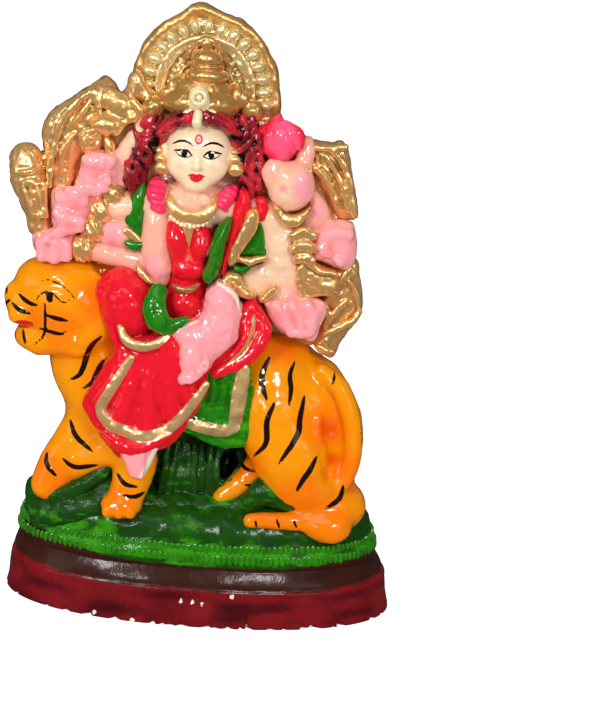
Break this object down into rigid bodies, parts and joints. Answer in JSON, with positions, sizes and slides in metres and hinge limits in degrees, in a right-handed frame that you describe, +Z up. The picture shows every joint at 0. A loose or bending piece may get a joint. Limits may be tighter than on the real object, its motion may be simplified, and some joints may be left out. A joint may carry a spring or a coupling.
{
  "type": "durga figurine",
  "caption": "Small cast plaster figurine of a many-armed goddess seated sideways on a tiger, on its own long oval plinth, gloss painted in bright colours and gold.",
  "frame": {"origin": "centre of the plinth's flat underside", "axes": "+Z up, -Y towards the front that the goddess faces, +X to the right of a viewer who stands in front"},
  "size_m": [0.1654, 0.064, 0.2446],
  "materials": {
    "tiger_paint": "gloss enamel on plaster, yellow shaded to orange with black brush stripes",
    "gold_paint": "glossy metallic gold enamel on plaster",
    "skin_paint": "gloss enamel on plaster, cream on the face, pink on hands and feet",
    "red_paint": "gloss enamel on plaster",
    "green_paint": "gloss enamel on plaster, brushed dark and mid green",
    "hair_paint": "gloss enamel on plaster, maroon over black",
    "plinth_paint": "brushed enamel on plaster, dark brown over crimson, chipped at the foot"
  },
  "bodies": {
    "root": {"goddess_on_tiger": "tiger_paint"}
  },
  "joints": []
}
